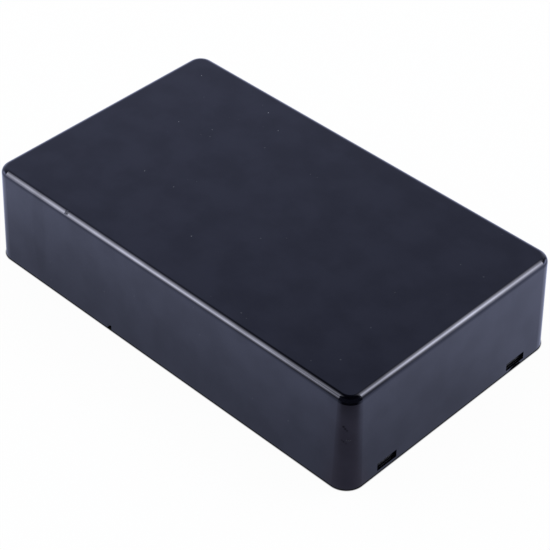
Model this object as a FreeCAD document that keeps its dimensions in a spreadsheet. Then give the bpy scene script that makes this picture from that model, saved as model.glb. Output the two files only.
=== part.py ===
"""Snap-together plastic project box: a deep cover shell over a flat base plate.

Millimetres, +Z up. The origin is the middle of the box's underside, with the long side along X.
Every size below is named once, in the document's spreadsheet, and each feature is bound to it.
"""
import FreeCAD, Part
import math
import os
import Sketcher

# Driving dimensions, in millimetres and degrees
SIZES = {
    # outside of the closed box
    "box_length": 100.0,
    "box_width": 60.0,
    "box_height": 22.5,
    "wall_draft": 2.0,
    "corner_radius": 4.0,
    "top_round": 1.4,
    "foot_round": 0.2,
    # thickness of the cover
    "wall": 2.0,
    "roof": 2.0,
    "inner_corner_radius": 2.5,
    "roof_inner_round": 0.8,
    # seat that the plate drops into, where the cover's wall is thinner
    "plate_thickness": 2.5,
    "seat_wall": 1.2,
    "seat_corner_radius": 3.0,
    "plate_gap": 0.3,
    "plate_chamfer": 0.3,
    # windows in the short walls and the catches that snap into them
    "window_length": 5.4,
    "window_sill": 0.7,
    "window_inset": 11.0,
    "catch_play": 0.2,
    "catch_bite": 0.5,
    "catch_land": 0.3,
    # notch in one long wall, for prising the cover off
    "notch_offset": 15.1,
    "notch_width": 1.2,
    "notch_height": 1.2,
    # rim on the plate that keeps the cover's walls from bowing inwards
    "rim_gap": 0.45,
    "rim_thickness": 1.2,
    "rim_height": 2.5,
    "rim_chamfer": 0.4,
    # posts for a circuit board, with pilot holes for self-tapping screws
    "post_inset_x": 12.0,
    "post_inset_y": 10.0,
    "post_diameter": 6.0,
    "post_height": 5.0,
    "post_round": 0.6,
    "pilot_diameter": 2.2,
    "pilot_depth": 5.0,
    "pilot_chamfer": 0.3,
    # shallow well in the underside that keeps the moulding gate off the table
    "gate_well_diameter": 6.0,
    "gate_well_depth": 0.3,
    # round witness marks that the ejector pins leave on the inner faces
    "pin_mark_diameter": 4.0,
    "pin_mark_depth": 0.1,
    "cover_mark_inset_x": 18.0,
    "cover_mark_inset_y": 13.0,
    "plate_mark_inset_x": 30.0,
    "plate_mark_inset_y": 12.0,
}

# Sizes that follow from the driving ones
DERIVED = {
    "hollow_length": "box_length - 2 * wall",
    "hollow_width": "box_width - 2 * wall",
    "seat_length": "box_length - 2 * seat_wall",
    "seat_width": "box_width - 2 * seat_wall",
    "plate_length": "seat_length - 2 * plate_gap",
    "plate_width": "seat_width - 2 * plate_gap",
    "plate_corner_radius": "seat_corner_radius - plate_gap",
    "rim_length": "hollow_length - 2 * rim_gap",
    "rim_width": "hollow_width - 2 * rim_gap",
    "rim_corner_radius": "inner_corner_radius - rim_gap",
    "rim_inner_length": "rim_length - 2 * rim_thickness",
    "rim_inner_width": "rim_width - 2 * rim_thickness",
    "rim_inner_radius": "rim_corner_radius - rim_thickness",
    "window_middle": "box_width / 2 - window_inset",
    "catch_length": "window_length - 2 * catch_play",
    "catch_tip": "seat_length / 2 + catch_bite",
    "catch_low": "window_sill + catch_play",
    "catch_high": "plate_thickness - catch_play",
    "post_x": "box_length / 2 - post_inset_x",
    "post_y": "box_width / 2 - post_inset_y",
    "post_top": "plate_thickness + post_height",
    "ceiling": "box_height - roof",
    "cover_mark_x": "box_length / 2 - cover_mark_inset_x",
    "cover_mark_y": "box_width / 2 - cover_mark_inset_y",
    "plate_mark_x": "box_length / 2 - plate_mark_inset_x",
    "plate_mark_y": "box_width / 2 - plate_mark_inset_y",
}

NEAR = 1e-4


def make_sheet(doc):
    """Write the sizes into the document's spreadsheet, one alias to a row."""
    sheet = doc.addObject("Spreadsheet::Sheet", "Dimensions")
    for row, (alias, value) in enumerate(SIZES.items(), start=1):
        sheet.set(f"A{row}", alias)
        sheet.set(f"B{row}", str(value))
        sheet.setAlias(f"B{row}", alias)
    for row, (alias, formula) in enumerate(DERIVED.items(), start=len(SIZES) + 1):
        sheet.set(f"A{row}", alias)
        sheet.set(f"B{row}", "=" + formula)
        sheet.setAlias(f"B{row}", alias)
    doc.recompute()
    return sheet


def bind(owner, prop, formula):
    """Bind a property to a formula of sheet aliases, each written in angle brackets."""
    owner.setExpression(prop, formula.replace("<", "Dimensions.").replace(">", ""))


def origin_plane(body, role):
    """Return the body's own origin plane of that role."""
    return next(item for item in body.Origin.OriginFeatures if item.Role == role)


def add_sketch(body, name, role, height=None):
    """Add a sketch on one of the body's origin planes, raised along the plane's normal."""
    sketch = body.newObject("Sketcher::SketchObject", name)
    sketch.AttachmentSupport = (origin_plane(body, role), [""])
    sketch.MapMode = "FlatFace"
    if height:
        bind(sketch, "AttachmentOffset.Base.z", height)
    return sketch


def add_constraint(sketch, name, formula, kind, *places):
    """Add a named dimension to a sketch and bind it to a formula."""
    index = sketch.addConstraint(Sketcher.Constraint(kind, *places))
    sketch.renameConstraint(index, name)
    bind(sketch, f"Constraints.{name}", formula)


def rounded_rectangle(sketch, sheet, length, width, radius):
    """Draw a rectangle with round corners, centred on the sketch's origin and bound to three aliases."""
    half_x = sheet.get(length) / 2
    half_y = sheet.get(width) / 2
    size = sheet.get(radius)
    point = FreeCAD.Vector
    corners = ((1, -1, -90), (1, 1, 0), (-1, 1, 90), (-1, -1, 180))
    arcs = []
    for side_x, side_y, start in corners:
        centre = point(side_x * (half_x - size), side_y * (half_y - size), 0)
        circle = Part.Circle(centre, point(0, 0, 1), size)
        first, last = math.radians(start), math.radians(start + 90)
        arcs.append(sketch.addGeometry(Part.ArcOfCircle(circle, first, last)))
    lines = []
    for index, arc in enumerate(arcs):
        ahead = sketch.Geometry[arcs[(index + 1) % 4]]
        here = sketch.Geometry[arc]
        lines.append(sketch.addGeometry(Part.LineSegment(here.EndPoint, ahead.StartPoint)))
    for index, line in enumerate(lines):
        ahead = arcs[(index + 1) % 4]
        sketch.addConstraint(Sketcher.Constraint("Tangent", arcs[index], 2, line, 1))
        sketch.addConstraint(Sketcher.Constraint("Tangent", line, 2, ahead, 1))
        sketch.addConstraint(Sketcher.Constraint("Vertical" if index % 2 == 0 else "Horizontal", line))
    for arc in arcs[1:]:
        sketch.addConstraint(Sketcher.Constraint("Equal", arcs[0], arc))
    sketch.addConstraint(Sketcher.Constraint("Symmetric", arcs[0], 3, arcs[2], 3, -1, 1))
    tag = length.replace("_length", "")
    right, top, left, bottom = lines
    add_constraint(sketch, f"{tag}_radius", f"<{radius}>", "Radius", arcs[0], size)
    add_constraint(sketch, f"{tag}_x", f"<{length}>", "DistanceX", left, 1, right, 1, 2 * half_x)
    add_constraint(sketch, f"{tag}_y", f"<{width}>", "DistanceY", bottom, 1, top, 1, 2 * half_y)


def closed_profile(sketch, points, holds):
    """Draw a closed polygon and hold its corners.

    Args:
        points: the corners as (x, y) numbers, in order.
        holds: one (corner, axis, formula) per dimension, each a distance from the sketch's origin.
    """
    corners = [FreeCAD.Vector(x, y, 0) for x, y in points]
    first = sketch.GeometryCount
    for start, end in zip(corners, corners[1:] + corners[:1]):
        sketch.addGeometry(Part.LineSegment(start, end))
    count = len(corners)
    for index in range(count):
        ahead = first + (index + 1) % count
        sketch.addConstraint(Sketcher.Constraint("Coincident", first + index, 2, ahead, 1))
    for corner, axis, formula in holds:
        value = corners[corner][0 if axis == "X" else 1]
        line = first + corner
        name = f"corner_{line}_{axis.lower()}"
        places = (-1, 1, line, 1, value) if value >= 0 else (line, 1, -1, 1, -value)
        add_constraint(sketch, name, formula, f"Distance{axis}", *places)


def square_up(sketch, first, across, upright):
    """Keep a polygon's lines level or upright."""
    for index in across:
        sketch.addConstraint(Sketcher.Constraint("Horizontal", first + index))
    for index in upright:
        sketch.addConstraint(Sketcher.Constraint("Vertical", first + index))


def four_spots(sheet, across, along):
    """The corners of a rectangle about the middle, as numbers and formulas for add_circles."""
    x, y = sheet.get(across), sheet.get(along)
    corners = ((1, 1), (1, -1), (-1, 1), (-1, -1))
    return [(side_x * x, side_y * y, f"<{across}>", f"<{along}>") for side_x, side_y in corners]


def add_circles(sketch, name, radius, value, centres):
    """Draw equal circles, each centre held by a pair of formulas.

    Args:
        radius: formula of the radius.
        value: the radius as a number.
        centres: one (x, y, x formula, y formula) per circle, the formulas giving distances from the origin.
    """
    for index, (x, y, across, along) in enumerate(centres):
        circle = Part.Circle(FreeCAD.Vector(x, y, 0), FreeCAD.Vector(0, 0, 1), value)
        item = sketch.addGeometry(circle)
        add_constraint(sketch, f"{name}_{index}_radius", radius, "Radius", item, value)
        for axis, offset, formula in (("X", x, across), ("Y", y, along)):
            places = (-1, 1, item, 3, offset) if offset >= 0 else (item, 3, -1, 1, -offset)
            add_constraint(sketch, f"{name}_{index}_{axis.lower()}", formula, f"Distance{axis}", *places)


def add_pad(body, name, sketch, length, taper=None, symmetric=False):
    """Pad a sketch by a formula, with a taper where the form is drafted."""
    pad = body.newObject("PartDesign::Pad", name)
    pad.Profile = sketch
    pad.SideType = "Symmetric" if symmetric else "One side"
    bind(pad, "Length", length)
    if taper:
        bind(pad, "TaperAngle", taper)
    body.Document.recompute()
    return pad


def add_pocket(body, name, sketch, depth=None, taper=None, reversed_way=True, symmetric=False):
    """Cut a sketch into the body, to a depth or right through, and make sure that it cuts."""
    before = body.Shape.Volume
    pocket = body.newObject("PartDesign::Pocket", name)
    pocket.Profile = sketch
    pocket.SideType = "Symmetric" if symmetric else "One side"
    pocket.Reversed = reversed_way
    if depth:
        bind(pocket, "Length", depth)
    else:
        pocket.Type = "ThroughAll"
    if taper:
        bind(pocket, "TaperAngle", taper)
    body.Document.recompute()
    if body.Shape.Volume > before - NEAR:
        raise RuntimeError(f"{name} cuts nothing")
    return pocket


def edges_where(feature, test):
    """Name the edges of a feature's shape for which the test holds."""
    return [f"Edge{index}" for index, edge in enumerate(feature.Shape.Edges, start=1) if test(edge)]


def lies_at(edge, height):
    """Whether the whole edge lies level at that height."""
    box = edge.BoundBox
    return abs(box.ZMin - height) < NEAR and abs(box.ZMax - height) < NEAR


def add_fillet(body, name, edges, radius):
    """Round the named edges of the body's tip."""
    fillet = body.newObject("PartDesign::Fillet", name)
    fillet.Base = (fillet.BaseFeature, edges)
    bind(fillet, "Radius", radius)
    body.Document.recompute()
    return fillet


def add_chamfer(body, name, edges, size):
    """Bevel the named edges of the body's tip."""
    chamfer = body.newObject("PartDesign::Chamfer", name)
    chamfer.Base = (chamfer.BaseFeature, edges)
    bind(chamfer, "Size", size)
    body.Document.recompute()
    return chamfer


def mirror_across(body, name, feature, role):
    """Repeat a feature on the other side of an origin plane."""
    mirrored = body.newObject("PartDesign::Mirrored", name)
    mirrored.Originals = [feature]
    mirrored.MirrorPlane = (origin_plane(body, role), [""])
    body.Tip = mirrored
    body.Document.recompute()
    return mirrored


def make_cover(doc, sheet):
    """The deep shell: drafted outside, hollow of even wall, plate seat, windows and prising notch."""
    body = doc.addObject("PartDesign::Body", "CoverShell")
    body.Label = "cover_shell"
    doc.recompute()

    # Outer form, narrower towards the top, its corner rounds shrinking with the draft
    outline = add_sketch(body, "OuterOutline", "XY_Plane")
    rounded_rectangle(outline, sheet, "box_length", "box_width", "corner_radius")
    form = add_pad(body, "OuterForm", outline, "<box_height>", taper="-<wall_draft>")

    # Full round where the roof turns into the walls, and a small one at the foot
    height = sheet.get("box_height")
    top = add_fillet(body, "TopRound", edges_where(form, lambda edge: lies_at(edge, height)), "<top_round>")
    add_fillet(body, "FootRound", edges_where(top, lambda edge: lies_at(edge, 0)), "<foot_round>")

    # Hollow from below, with the same draft, so that the wall keeps its thickness
    hollow_outline = add_sketch(body, "HollowOutline", "XY_Plane")
    rounded_rectangle(hollow_outline, sheet, "hollow_length", "hollow_width", "inner_corner_radius")
    hollow = add_pocket(body, "Hollow", hollow_outline, "<ceiling>", taper="-<wall_draft>")
    ceiling = sheet.get("ceiling")
    inner_edges = edges_where(hollow, lambda edge: lies_at(edge, ceiling))
    add_fillet(body, "RoofInnerRound", inner_edges, "<roof_inner_round>")

    # Seat for the plate, which stops against the shoulder above it
    seat_outline = add_sketch(body, "SeatOutline", "XY_Plane")
    rounded_rectangle(seat_outline, sheet, "seat_length", "seat_width", "seat_corner_radius")
    add_pocket(body, "PlateSeat", seat_outline, "<plate_thickness>")

    # Two windows in each short wall, from a thin sill up to the shoulder
    windows = add_sketch(body, "WindowOutline", "YZ_Plane")
    middle = sheet.get("window_middle")
    half = sheet.get("window_length") / 2
    low, high = sheet.get("window_sill"), sheet.get("plate_thickness")
    for side in (1, -1):
        near, far = side * (middle - half), side * (middle + half)
        first = windows.GeometryCount
        near_formula = "<window_middle> - <window_length> / 2"
        far_formula = "<window_middle> + <window_length> / 2"
        corners = [(near, low), (far, low), (far, high), (near, high)]
        holds = [
            (0, "X", near_formula),
            (1, "X", far_formula),
            (0, "Y", "<window_sill>"),
            (2, "Y", "<plate_thickness>"),
        ]
        closed_profile(windows, corners, holds)
        square_up(windows, first, across=(0, 2), upright=(1, 3))
    add_pocket(body, "Windows", windows, symmetric=True)

    # Notch in the foot of one long wall
    notch_outline = add_sketch(body, "NotchOutline", "XZ_Plane")
    middle = sheet.get("notch_offset")
    half = sheet.get("notch_width") / 2
    rise = sheet.get("notch_height")
    corners = [(-middle - half, 0), (-middle + half, 0), (-middle + half, rise), (-middle - half, rise)]
    holds = [
        (0, "X", "<notch_offset> + <notch_width> / 2"),
        (1, "X", "<notch_offset> - <notch_width> / 2"),
        (0, "Y", "0 mm"),
        (2, "Y", "<notch_height>"),
    ]
    closed_profile(notch_outline, corners, holds)
    square_up(notch_outline, 0, across=(0, 2), upright=(1, 3))
    add_pocket(body, "PrisingNotch", notch_outline)

    # Witness marks of the ejector pins on the underside of the roof
    mark_outline = add_sketch(body, "PinMarkOutline", "XY_Plane", height="<ceiling>")
    mark_radius = sheet.get("pin_mark_diameter") / 2
    spots = four_spots(sheet, "cover_mark_x", "cover_mark_y")
    add_circles(mark_outline, "mark", "<pin_mark_diameter> / 2", mark_radius, spots)
    add_pocket(body, "PinMarks", mark_outline, "<pin_mark_depth>")
    return body


def make_plate(doc, sheet):
    """The flat plate: chamfered slab, locating rim, four catches, four board posts and a gate well."""
    body = doc.addObject("PartDesign::Body", "BasePlate")
    body.Label = "base_plate"
    doc.recompute()

    outline = add_sketch(body, "PlateOutline", "XY_Plane")
    rounded_rectangle(outline, sheet, "plate_length", "plate_width", "plate_corner_radius")
    slab = add_pad(body, "Slab", outline, "<plate_thickness>")
    add_chamfer(body, "SlabChamfer", edges_where(slab, lambda edge: lies_at(edge, 0)), "<plate_chamfer>")

    # Low rim just inside the cover's walls, bevelled where the cover comes down over it
    rim_outline = add_sketch(body, "RimOutline", "XY_Plane", height="<plate_thickness>")
    rounded_rectangle(rim_outline, sheet, "rim_length", "rim_width", "rim_corner_radius")
    rounded_rectangle(rim_outline, sheet, "rim_inner_length", "rim_inner_width", "rim_inner_radius")
    rim = add_pad(body, "Rim", rim_outline, "<rim_height>")
    rim_top = sheet.get("plate_thickness") + sheet.get("rim_height")
    half_x = sheet.get("rim_inner_length") / 2 + NEAR
    half_y = sheet.get("rim_inner_width") / 2 + NEAR

    def is_outer(edge):
        box = edge.BoundBox
        return max(-box.XMin, box.XMax) > half_x or max(-box.YMin, box.YMax) > half_y

    outer_edges = edges_where(rim, lambda edge: lies_at(edge, rim_top) and is_outer(edge))
    add_chamfer(body, "RimChamfer", outer_edges, "<rim_chamfer>")

    # Wedge catches: a flat underside to hold the sill, a sloping top to let the cover slide down
    catches = add_sketch(body, "CatchProfile", "XZ_Plane", height="<window_middle>")
    root = sheet.get("plate_length") / 2 - sheet.get("plate_chamfer")
    tip = sheet.get("catch_tip")
    low, high = sheet.get("catch_low"), sheet.get("catch_high")
    land = low + sheet.get("catch_land")
    root_formula = "<plate_length> / 2 - <plate_chamfer>"
    for side in (1, -1):
        first = catches.GeometryCount
        corners = [(side * root, low), (side * tip, low), (side * tip, land), (side * root, high)]
        holds = [
            (0, "X", root_formula),
            (0, "Y", "<catch_low>"),
            (1, "X", "<catch_tip>"),
            (2, "Y", "<catch_low> + <catch_land>"),
            (3, "Y", "<catch_high>"),
        ]
        closed_profile(catches, corners, holds)
        square_up(catches, first, across=(0,), upright=(1, 3))
    pair = add_pad(body, "CatchPair", catches, "<catch_length>", symmetric=True)
    mirror_across(body, "OtherCatchPair", pair, "XZ_Plane")

    # Board posts at the corners of a rectangle, rounded into the plate
    spots = four_spots(sheet, "post_x", "post_y")
    post_outline = add_sketch(body, "PostOutline", "XY_Plane", height="<plate_thickness>")
    post_radius = sheet.get("post_diameter") / 2
    add_circles(post_outline, "post", "<post_diameter> / 2", post_radius, spots)
    posts = add_pad(body, "Posts", post_outline, "<post_height>")
    plate_top = sheet.get("plate_thickness")

    def is_post_root(edge):
        return lies_at(edge, plate_top) and edge.Closed and abs(edge.Curve.Radius - post_radius) < NEAR

    add_fillet(body, "PostRound", edges_where(posts, is_post_root), "<post_round>")

    # Pilot holes from the posts' tops
    pilot_outline = add_sketch(body, "PilotOutline", "XY_Plane", height="<post_top>")
    pilot_radius = sheet.get("pilot_diameter") / 2
    add_circles(pilot_outline, "pilot", "<pilot_diameter> / 2", pilot_radius, spots)
    pilots = add_pocket(body, "PilotHoles", pilot_outline, "<pilot_depth>", reversed_way=False)
    post_top = sheet.get("post_top")

    def is_pilot_mouth(edge):
        return lies_at(edge, post_top) and edge.Closed and abs(edge.Curve.Radius - pilot_radius) < NEAR

    add_chamfer(body, "PilotChamfer", edges_where(pilots, is_pilot_mouth), "<pilot_chamfer>")

    # Gate well in the middle of the underside
    well_outline = add_sketch(body, "WellOutline", "XY_Plane")
    well_radius = sheet.get("gate_well_diameter") / 2
    add_circles(well_outline, "well", "<gate_well_diameter> / 2", well_radius, [(0, 0, "0 mm", "0 mm")])
    add_pocket(body, "GateWell", well_outline, "<gate_well_depth>")

    # Witness marks of the ejector pins on the plate's upper face
    mark_outline = add_sketch(body, "PinMarkOutline", "XY_Plane", height="<plate_thickness>")
    mark_radius = sheet.get("pin_mark_diameter") / 2
    mark_spots = four_spots(sheet, "plate_mark_x", "plate_mark_y")
    add_circles(mark_outline, "mark", "<pin_mark_diameter> / 2", mark_radius, mark_spots)
    add_pocket(body, "PinMarks", mark_outline, "<pin_mark_depth>", reversed_way=False)
    return body


def check_document(doc, bodies):
    """Stop if any object failed or a piece isn't one sound solid."""
    for item in doc.Objects:
        if {"Invalid", "Error"} & set(item.State):
            raise RuntimeError(f"{item.Name} failed: {item.State}")
    for body in bodies:
        shape = body.Shape
        if shape.isNull() or not shape.isValid() or len(shape.Solids) != 1:
            raise RuntimeError(f"{body.Label} isn't one sound solid")
        print(f"{body.Label}: {shape.Volume:.1f} mm3, {len(shape.Faces)} faces")


def main():
    """Build both pieces and write one STEP file for each."""
    doc = FreeCAD.newDocument("ProjectBox")
    sheet = make_sheet(doc)
    bodies = [make_cover(doc, sheet), make_plate(doc, sheet)]
    doc.recompute()
    check_document(doc, bodies)
    os.makedirs("parts", exist_ok=True)
    for body in bodies:
        body.Shape.exportStep(f"parts/{body.Label}.step")


main()
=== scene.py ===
"""Looks of the plastic project box, a gloss black cover snapped over a satin black base plate.

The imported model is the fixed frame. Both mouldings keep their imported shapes, and each gets a
procedural plastic here. The studio is a pale floor, two soft side lamps and two cards that only
the gloss sees: a dim room with bright panes, and a table top. Lengths in the finishes are
millimetres, because a moulded skin is read at that scale; lengths in the studio are metres.
"""

import logging
import math
from dataclasses import dataclass
from enum import Enum

import bpy
from mathutils import Matrix, Vector


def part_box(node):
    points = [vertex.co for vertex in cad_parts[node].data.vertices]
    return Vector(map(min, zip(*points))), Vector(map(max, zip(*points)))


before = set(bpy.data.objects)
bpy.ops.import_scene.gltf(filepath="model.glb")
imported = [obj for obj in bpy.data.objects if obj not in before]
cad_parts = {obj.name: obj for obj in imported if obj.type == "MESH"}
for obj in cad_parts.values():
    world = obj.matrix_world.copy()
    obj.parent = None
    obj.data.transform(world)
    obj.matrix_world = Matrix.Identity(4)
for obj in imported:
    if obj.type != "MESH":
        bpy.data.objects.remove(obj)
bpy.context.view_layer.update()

log = logging.getLogger("project_box")

Value = float | tuple[float, ...] | Vector | bpy.types.NodeSocket
Range = tuple[float, float]
Triple = tuple[float, float, float]
Colour = tuple[float, float, float, float]

SENSOR = 36.0
TO_MILLIMETRES = 1000.0
WHITE: Colour = (1.0, 1.0, 1.0, 1.0)
MIDDLE = 0.5
MOST_NOISE: Range = (0.3, 0.7)
CORNER_AZIMUTH = 43.0
QUARTER_TURN = 90.0


class Op(Enum):
    """Sums that a Math node does."""

    ADD = "ADD"
    SUBTRACT = "SUBTRACT"
    MULTIPLY = "MULTIPLY"
    DIVIDE = "DIVIDE"
    SMALLER = "MINIMUM"
    LARGER = "MAXIMUM"
    SIZE = "ABSOLUTE"


class VectorOp(Enum):
    """Sums that a Vector Math node does."""

    SUBTRACT = "SUBTRACT"
    MULTIPLY = "MULTIPLY"
    NORMALISE = "NORMALIZE"
    LENGTH = "LENGTH"
    DISTANCE = "DISTANCE"
    DOT = "DOT_PRODUCT"


class Kind(Enum):
    """Kinds of socket on a node group."""

    NUMBER = "NodeSocketFloat"
    VECTOR = "NodeSocketVector"


class NodeSheet:
    """A node tree that is filled one node at a time, from left to right."""

    spacing: float = 190.0
    number_ops: tuple[VectorOp, ...] = (VectorOp.LENGTH, VectorOp.DISTANCE, VectorOp.DOT)

    def __init__(self, tree: bpy.types.NodeTree) -> None:
        """Take an empty tree.

        Args:
            tree: The tree that the nodes go into.
        """
        self.tree = tree

    def add(
        self, kind: str, inputs: dict[str | int, Value] | None = None, **settings: object
    ) -> bpy.types.Node:
        """Add one node, set it and wire it.

        Args:
            kind: The node's Blender type.
            inputs: Values and incoming sockets, by input name or number.
            **settings: Attributes of the node, set before its inputs.

        Returns:
            The new node.
        """
        node = self.tree.nodes.new(kind)
        node.location = (self.spacing * len(self.tree.nodes), 0.0)
        for name, setting in settings.items():
            setattr(node, name, setting)
        for key, value in (inputs or {}).items():
            if isinstance(value, bpy.types.NodeSocket):
                self.tree.links.new(value, node.inputs[key])
            else:
                node.inputs[key].default_value = value
        return node

    def sum(self, op: Op, *values: Value) -> bpy.types.NodeSocket:
        """Return the result of a Math node for one or two values."""
        return self.add("ShaderNodeMath", dict(enumerate(values)), operation=op.value).outputs[0]

    def vector(self, op: VectorOp, *values: Value) -> bpy.types.NodeSocket:
        """Do a sum on one or two vectors.

        Args:
            op: The sum.
            *values: The vectors.

        Returns:
            The number that comes out of a length, distance or dot product, or else the vector.
        """
        outputs = self.add("ShaderNodeVectorMath", dict(enumerate(values)), operation=op.value).outputs
        return outputs[1] if op in self.number_ops else outputs[0]

    def step(
        self, value: Value, low: float, high: float, to: tuple[Value, Value] = (0.0, 1.0)
    ) -> bpy.types.NodeSocket:
        """Ease a value over a range.

        Args:
            value: What is read.
            low: Where the result has its first value.
            high: Where the result has its second value.
            to: The two values.

        Returns:
            The eased socket.
        """
        ends = {"Value": value, "From Min": low, "From Max": high, "To Min": to[0], "To Max": to[1]}
        return self.add("ShaderNodeMapRange", ends, interpolation_type="SMOOTHSTEP").outputs[0]

    def blend(self, share: Value, first: Value, second: Value) -> bpy.types.NodeSocket:
        """Return a colour that goes from the first to the second with the share."""
        return self.add("ShaderNodeMix", {0: share, 6: first, 7: second}, data_type="RGBA").outputs[2]

    def noise(self, vector: Value, size: Value, detail: float = 2.0) -> bpy.types.NodeSocket:
        """Make soft noise.

        Args:
            vector: The place that is read.
            size: The size of a blotch, in the vector's unit.
            detail: How many finer layers lie on it.

        Returns:
            The noise, from 0 to 1 around 0.5.
        """
        scale = self.sum(Op.DIVIDE, 1.0, size)
        return self.add("ShaderNodeTexNoise", {"Vector": vector, "Scale": scale, "Detail": detail}).outputs[0]

    def axes(self, vector: Value) -> tuple[bpy.types.NodeSocket, ...]:
        """Return a vector's three numbers."""
        return tuple(self.add("ShaderNodeSeparateXYZ", {0: vector}).outputs)


class EffectGroup:
    """A shader effect as one node group, built once and placed in each finish with its own values."""

    def __init__(self, name: str, takes: dict[str, tuple[Kind, Value]], gives: dict[str, Kind]) -> None:
        """Make the group with its named sockets.

        Args:
            name: The group's name.
            takes: Kind and usual value of each input, by name.
            gives: Kind of each output, by name.
        """
        self.tree = bpy.data.node_groups.new(name, "ShaderNodeTree")
        for label, (kind, usual) in takes.items():
            socket = self.tree.interface.new_socket(label, in_out="INPUT", socket_type=kind.value)
            socket.default_value = usual
        for label, kind in gives.items():
            self.tree.interface.new_socket(label, in_out="OUTPUT", socket_type=kind.value)
        self.sheet = NodeSheet(self.tree)
        self.inputs = self.sheet.add("NodeGroupInput").outputs
        self.draw()

    def draw(self) -> None:
        """Fill the group with its nodes. Each effect has its own."""
        raise NotImplementedError

    def give(self, **results: Value) -> None:
        """Wire the results to the outputs, whose names have spaces for the underscores."""
        named = {label.replace("_", " "): value for label, value in results.items()}
        self.sheet.add("NodeGroupOutput", named)

    def place(self, sheet: NodeSheet, **inputs: Value) -> bpy.types.bpy_prop_collection:
        """Put the effect into a material.

        Args:
            sheet: The material's sheet.
            **inputs: Values by input name, with underscores for the spaces.

        Returns:
            The outputs of the placed group.
        """
        named = {label.replace("_", " "): value for label, value in inputs.items()}
        return sheet.add("ShaderNodeGroup", named, node_tree=self.tree).outputs


class MouldedSkin(EffectGroup):
    """Height of a moulded skin: the slow swell of a shrinking wall, with the tool's fine texture on it."""

    swell_detail: float = 1.0
    grain_detail: float = 3.0

    def __init__(self) -> None:
        """Make the group."""
        super().__init__(
            "moulded_skin",
            {
                "Place": (Kind.VECTOR, (0.0, 0.0, 0.0)),
                "Swell Size": (Kind.NUMBER, 24.0),
                "Swell Height": (Kind.NUMBER, 0.03),
                "Grain Size": (Kind.NUMBER, 0.8),
                "Grain Height": (Kind.NUMBER, 0.0005),
            },
            {"Height": Kind.NUMBER},
        )

    def draw(self) -> None:
        """Add the swell and the grain, each about zero."""
        sheet, given = self.sheet, self.inputs
        swell = sheet.noise(given["Place"], given["Swell Size"], self.swell_detail)
        swell = sheet.sum(Op.MULTIPLY, sheet.sum(Op.SUBTRACT, swell, MIDDLE), given["Swell Height"])
        grain = sheet.noise(given["Place"], given["Grain Size"], self.grain_detail)
        grain = sheet.sum(Op.MULTIPLY, sheet.sum(Op.SUBTRACT, grain, MIDDLE), given["Grain Height"])
        self.give(Height=sheet.sum(Op.ADD, swell, grain))


class Handling(EffectGroup):
    """Traces of handling: hairline scratches in patches, dust specks and dull finger smudges."""

    patch_size: float = 17.0
    patch_edge: Range = (0.48, 0.62)
    scratch_turns: tuple[Triple, ...] = ((0.2, 0.5, 0.4), (-0.4, 0.3, 2.2), (0.6, -0.3, 1.2))
    scratch_squeeze: Triple = (0.05, 2.2, 2.2)
    fibre_size: float = 1.0
    fibre_detail: float = 1.0
    scratch_edge: Range = (0.735, 0.765)
    specks_to_a_millimetre: float = 0.55
    specks_kept: Range = (0.86, 0.87)
    speck_reach: Range = (0.03, 0.085)
    speck_edge: float = 0.012
    smudge_size: float = 12.0
    smudge_detail: float = 4.0
    smudge_edge: Range = (0.42, 0.72)

    def __init__(self) -> None:
        """Make the group."""
        super().__init__(
            "handling",
            {
                "Place": (Kind.VECTOR, (0.0, 0.0, 0.0)),
                "Scratches": (Kind.NUMBER, 0.5),
                "Dust": (Kind.NUMBER, 0.5),
                "Smudges": (Kind.NUMBER, 0.5),
            },
            {"Scratch": Kind.NUMBER, "Dust": Kind.NUMBER, "Smudge": Kind.NUMBER},
        )

    def draw(self) -> None:
        """Draw each trace as a mask from 0 to 1."""
        sheet, given = self.sheet, self.inputs
        smudge = sheet.noise(given["Place"], self.smudge_size, self.smudge_detail)
        smudge = sheet.step(smudge, *self.smudge_edge)
        self.give(
            Scratch=sheet.sum(Op.MULTIPLY, self.draw_scratches(), given["Scratches"]),
            Dust=sheet.sum(Op.MULTIPLY, self.draw_specks(), given["Dust"]),
            Smudge=sheet.sum(Op.MULTIPLY, smudge, given["Smudges"]),
        )

    def draw_scratches(self) -> bpy.types.NodeSocket:
        """Draw hairlines that run three ways, in patches.

        Returns:
            The mask of the scratches.
        """
        sheet, place = self.sheet, self.inputs["Place"]
        patches = sheet.step(sheet.noise(place, self.patch_size), *self.patch_edge)
        lines = None
        for turn in self.scratch_turns:
            ends = {"Vector": place, "Rotation": turn, "Scale": self.scratch_squeeze}
            turned = sheet.add("ShaderNodeMapping", ends).outputs[0]
            fibre = sheet.step(sheet.noise(turned, self.fibre_size, self.fibre_detail), *self.scratch_edge)
            lines = fibre if lines is None else sheet.sum(Op.LARGER, lines, fibre)
        return sheet.sum(Op.MULTIPLY, lines, patches)

    def draw_specks(self) -> bpy.types.NodeSocket:
        """Draw round specks of differing size, one to a cell and most of them left out.

        Returns:
            The mask of the specks.
        """
        sheet = self.sheet
        ends = {"Vector": self.inputs["Place"], "Scale": self.specks_to_a_millimetre}
        cells = sheet.add("ShaderNodeTexVoronoi", ends).outputs
        kept, reach, _ = sheet.axes(cells["Color"])
        kept = sheet.step(kept, *self.specks_kept)
        reach = sheet.sum(Op.MULTIPLY, sheet.step(reach, 0.0, 1.0, self.speck_reach), kept)
        past = sheet.sum(Op.SUBTRACT, cells["Distance"], reach)
        return sheet.sum(Op.MULTIPLY, sheet.step(past, 0.0, self.speck_edge, (1.0, 0.0)), kept)


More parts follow.
